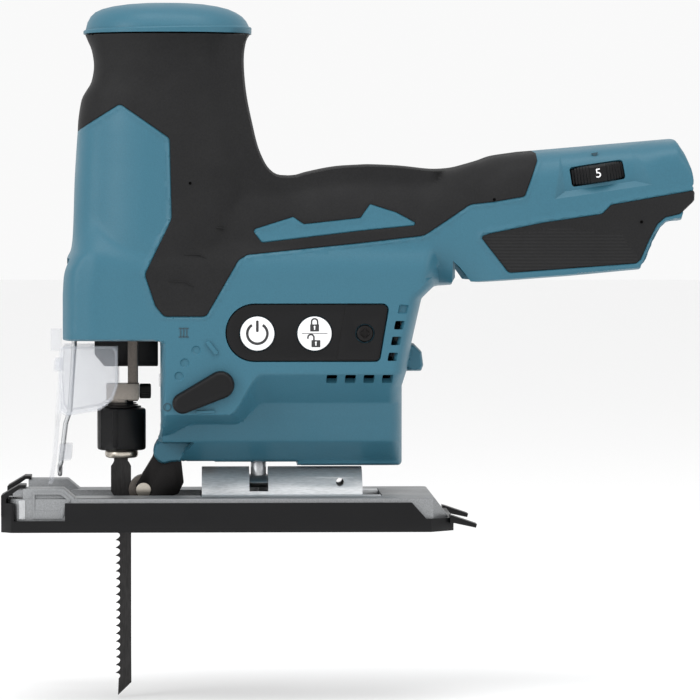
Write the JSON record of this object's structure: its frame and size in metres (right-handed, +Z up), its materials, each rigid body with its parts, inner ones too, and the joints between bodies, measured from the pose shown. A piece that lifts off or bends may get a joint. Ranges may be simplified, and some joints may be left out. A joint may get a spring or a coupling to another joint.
{
  "type": "jigsaw power tool",
  "caption": "Cordless barrel-grip jigsaw without battery: upright grip barrel, rear battery end, tilting base, saw blade in a quick clamp, guide roller and clear chip cover.",
  "frame": {"origin": "centre of the base's flat sole, in its plane", "axes": "+Z up from the sole, +X to the battery end, -X to the blade end, -Y to the tool's left side with the control panel"},
  "size_m": [0.2653, 0.077, 0.2685],
  "materials": {
    "teal_nylon": "glass-filled nylon with a fine spark texture",
    "grip_rubber": "fine-textured soft rubber",
    "black_plastic": "satin black moulded plastic",
    "button_white": "printed membrane with black symbols",
    "black_steel": "black oxide",
    "bright_steel": "ground or zinc-plated steel",
    "copper_winding": "enamelled copper wire on a laminated core",
    "cast_aluminium": "die-cast, lightly tumbled",
    "clear_plastic": "clear polycarbonate"
  },
  "bodies": {
    "housing": {"housing_left": "teal_nylon", "housing_right": "teal_nylon", "grip_left": "grip_rubber", "grip_right": "grip_rubber", "top_cap": "teal_nylon", "battery_pad_left": "grip_rubber", "battery_pad_right": "grip_rubber", "housing_screw_1": "black_steel", "housing_screw_2": "black_steel", "housing_screw_3": "black_steel", "housing_screw_4": "black_steel", "housing_screw_5": "black_steel", "housing_screw_6": "black_steel", "housing_screw_7": "black_steel", "switch_panel": "black_plastic", "panel_screw": "black_steel", "motor_stator": "copper_winding", "front_bearing": "bright_steel", "rear_bearing": "bright_steel", "gear_bearing": "bright_steel", "gear_case": "cast_aluminium", "guide_bracket_left": "cast_aluminium", "guide_bracket_right": "cast_aluminium", "wire_guard": "bright_steel", "guard_bracket": "black_plastic", "inner_guard": "black_plastic", "clamp_plate": "bright_steel", "clamp_bolt": "bright_steel", "controller_module": "black_plastic", "terminal_block": "black_plastic", "lamp_lens": "clear_plastic", "arm_pivot_pin": "bright_steel"},
    "base": {"base_plate": "cast_aluminium", "cover_plate": "black_plastic", "bevel_arch": "bright_steel"},
    "rotor": {"rotor": "bright_steel", "fan": "black_plastic", "pinion": "bright_steel"},
    "crank": {"crank_gear": "bright_steel", "crank_pin": "bright_steel", "counterweight": "bright_steel"},
    "guide": {"plunger_guide": "bright_steel"},
    "plunger": {"plunger_rod": "black_steel", "clamp_block": "cast_aluminium", "clamp_screw": "black_steel", "clamp_ring": "bright_steel", "blade": "black_steel"},
    "sleeve": {"clamp_sleeve": "black_plastic"},
    "roller_arm": {"roller_holder": "black_steel", "roller_pin": "bright_steel"},
    "roller": {"guide_roller": "bright_steel"},
    "orbital_lever": {"orbital_lever": "black_plastic"},
    "power_button": {"power_button": "button_white"},
    "lock_button": {"lock_button": "button_white"},
    "speed_dial": {"speed_dial": "black_plastic"},
    "chip_cover": {"chip_cover": "clear_plastic"}
  },
  "joints": [
    {"name": "base_bevel", "type": "hinge", "parent": "housing", "child": "base", "pos_m": [0, 0, 0.006], "axis": [1, 0, 0], "range_deg": [-45, 45]},
    {"name": "rotor_spin", "type": "hinge", "parent": "housing", "child": "rotor", "pos_m": [0, 0, 0.084], "axis": [1, 0, 0], "continuous": true},
    {"name": "gear_spin", "type": "hinge", "parent": "housing", "child": "crank", "pos_m": [0, 0, 0.108], "axis": [1, 0, 0], "continuous": true},
    {"name": "blade_swing", "type": "hinge", "parent": "housing", "child": "guide", "pos_m": [-0.0366, 0, 0.15], "axis": [0, 1, 0], "range_deg": [0, 1.1]},
    {"name": "plunger_stroke", "type": "slide", "parent": "guide", "child": "plunger", "axis": [0, 0, 1], "range_m": [0, 0.026]},
    {"name": "clamp_twist", "type": "hinge", "parent": "plunger", "child": "sleeve", "pos_m": [-0.04105, 0, 0.0377], "axis": [0, 0, 1], "range_deg": [0, 50], "stiffness_Nm_per_rad": 0.05},
    {"name": "roller_swing", "type": "hinge", "parent": "housing", "child": "roller_arm", "pos_m": [-0.0237, 0, 0.0294], "axis": [0, 1, 0], "range_deg": [0, 8]},
    {"name": "roller_spin", "type": "hinge", "parent": "roller_arm", "child": "roller", "pos_m": [-0.0325, 0, 0.0142], "axis": [0, 1, 0], "continuous": true},
    {"name": "orbital_select", "type": "hinge", "parent": "housing", "child": "orbital_lever", "pos_m": [-0.0028, 0, 0.056], "axis": [0, 1, 0], "range_deg": [0, 80]},
    {"name": "power_press", "type": "slide", "parent": "housing", "child": "power_button", "axis": [0, 1, 0], "range_m": [0, 0.0008], "stiffness_N_per_m": 2000},
    {"name": "lock_press", "type": "slide", "parent": "housing", "child": "lock_button", "axis": [0, 1, 0], "range_m": [0, 0.0008], "stiffness_N_per_m": 2000},
    {"name": "dial_turn", "type": "hinge", "parent": "housing", "child": "speed_dial", "pos_m": [0.141, -0.0219, 0.1364], "axis": [-0.1478, 0, 0.989], "range_deg": [-150, 150]},
    {"name": "chip_cover_slide", "type": "slide", "parent": "housing", "child": "chip_cover", "axis": [0.119, 0, 0.9929], "range_m": [0, 0.02]}
  ],
  "couplings": [
    {"joint": "gear_spin", "follows": "rotor_spin", "ratio": -0.2},
    {"joint": "blade_swing", "follows": "roller_swing", "ratio": 0.128}
  ]
}
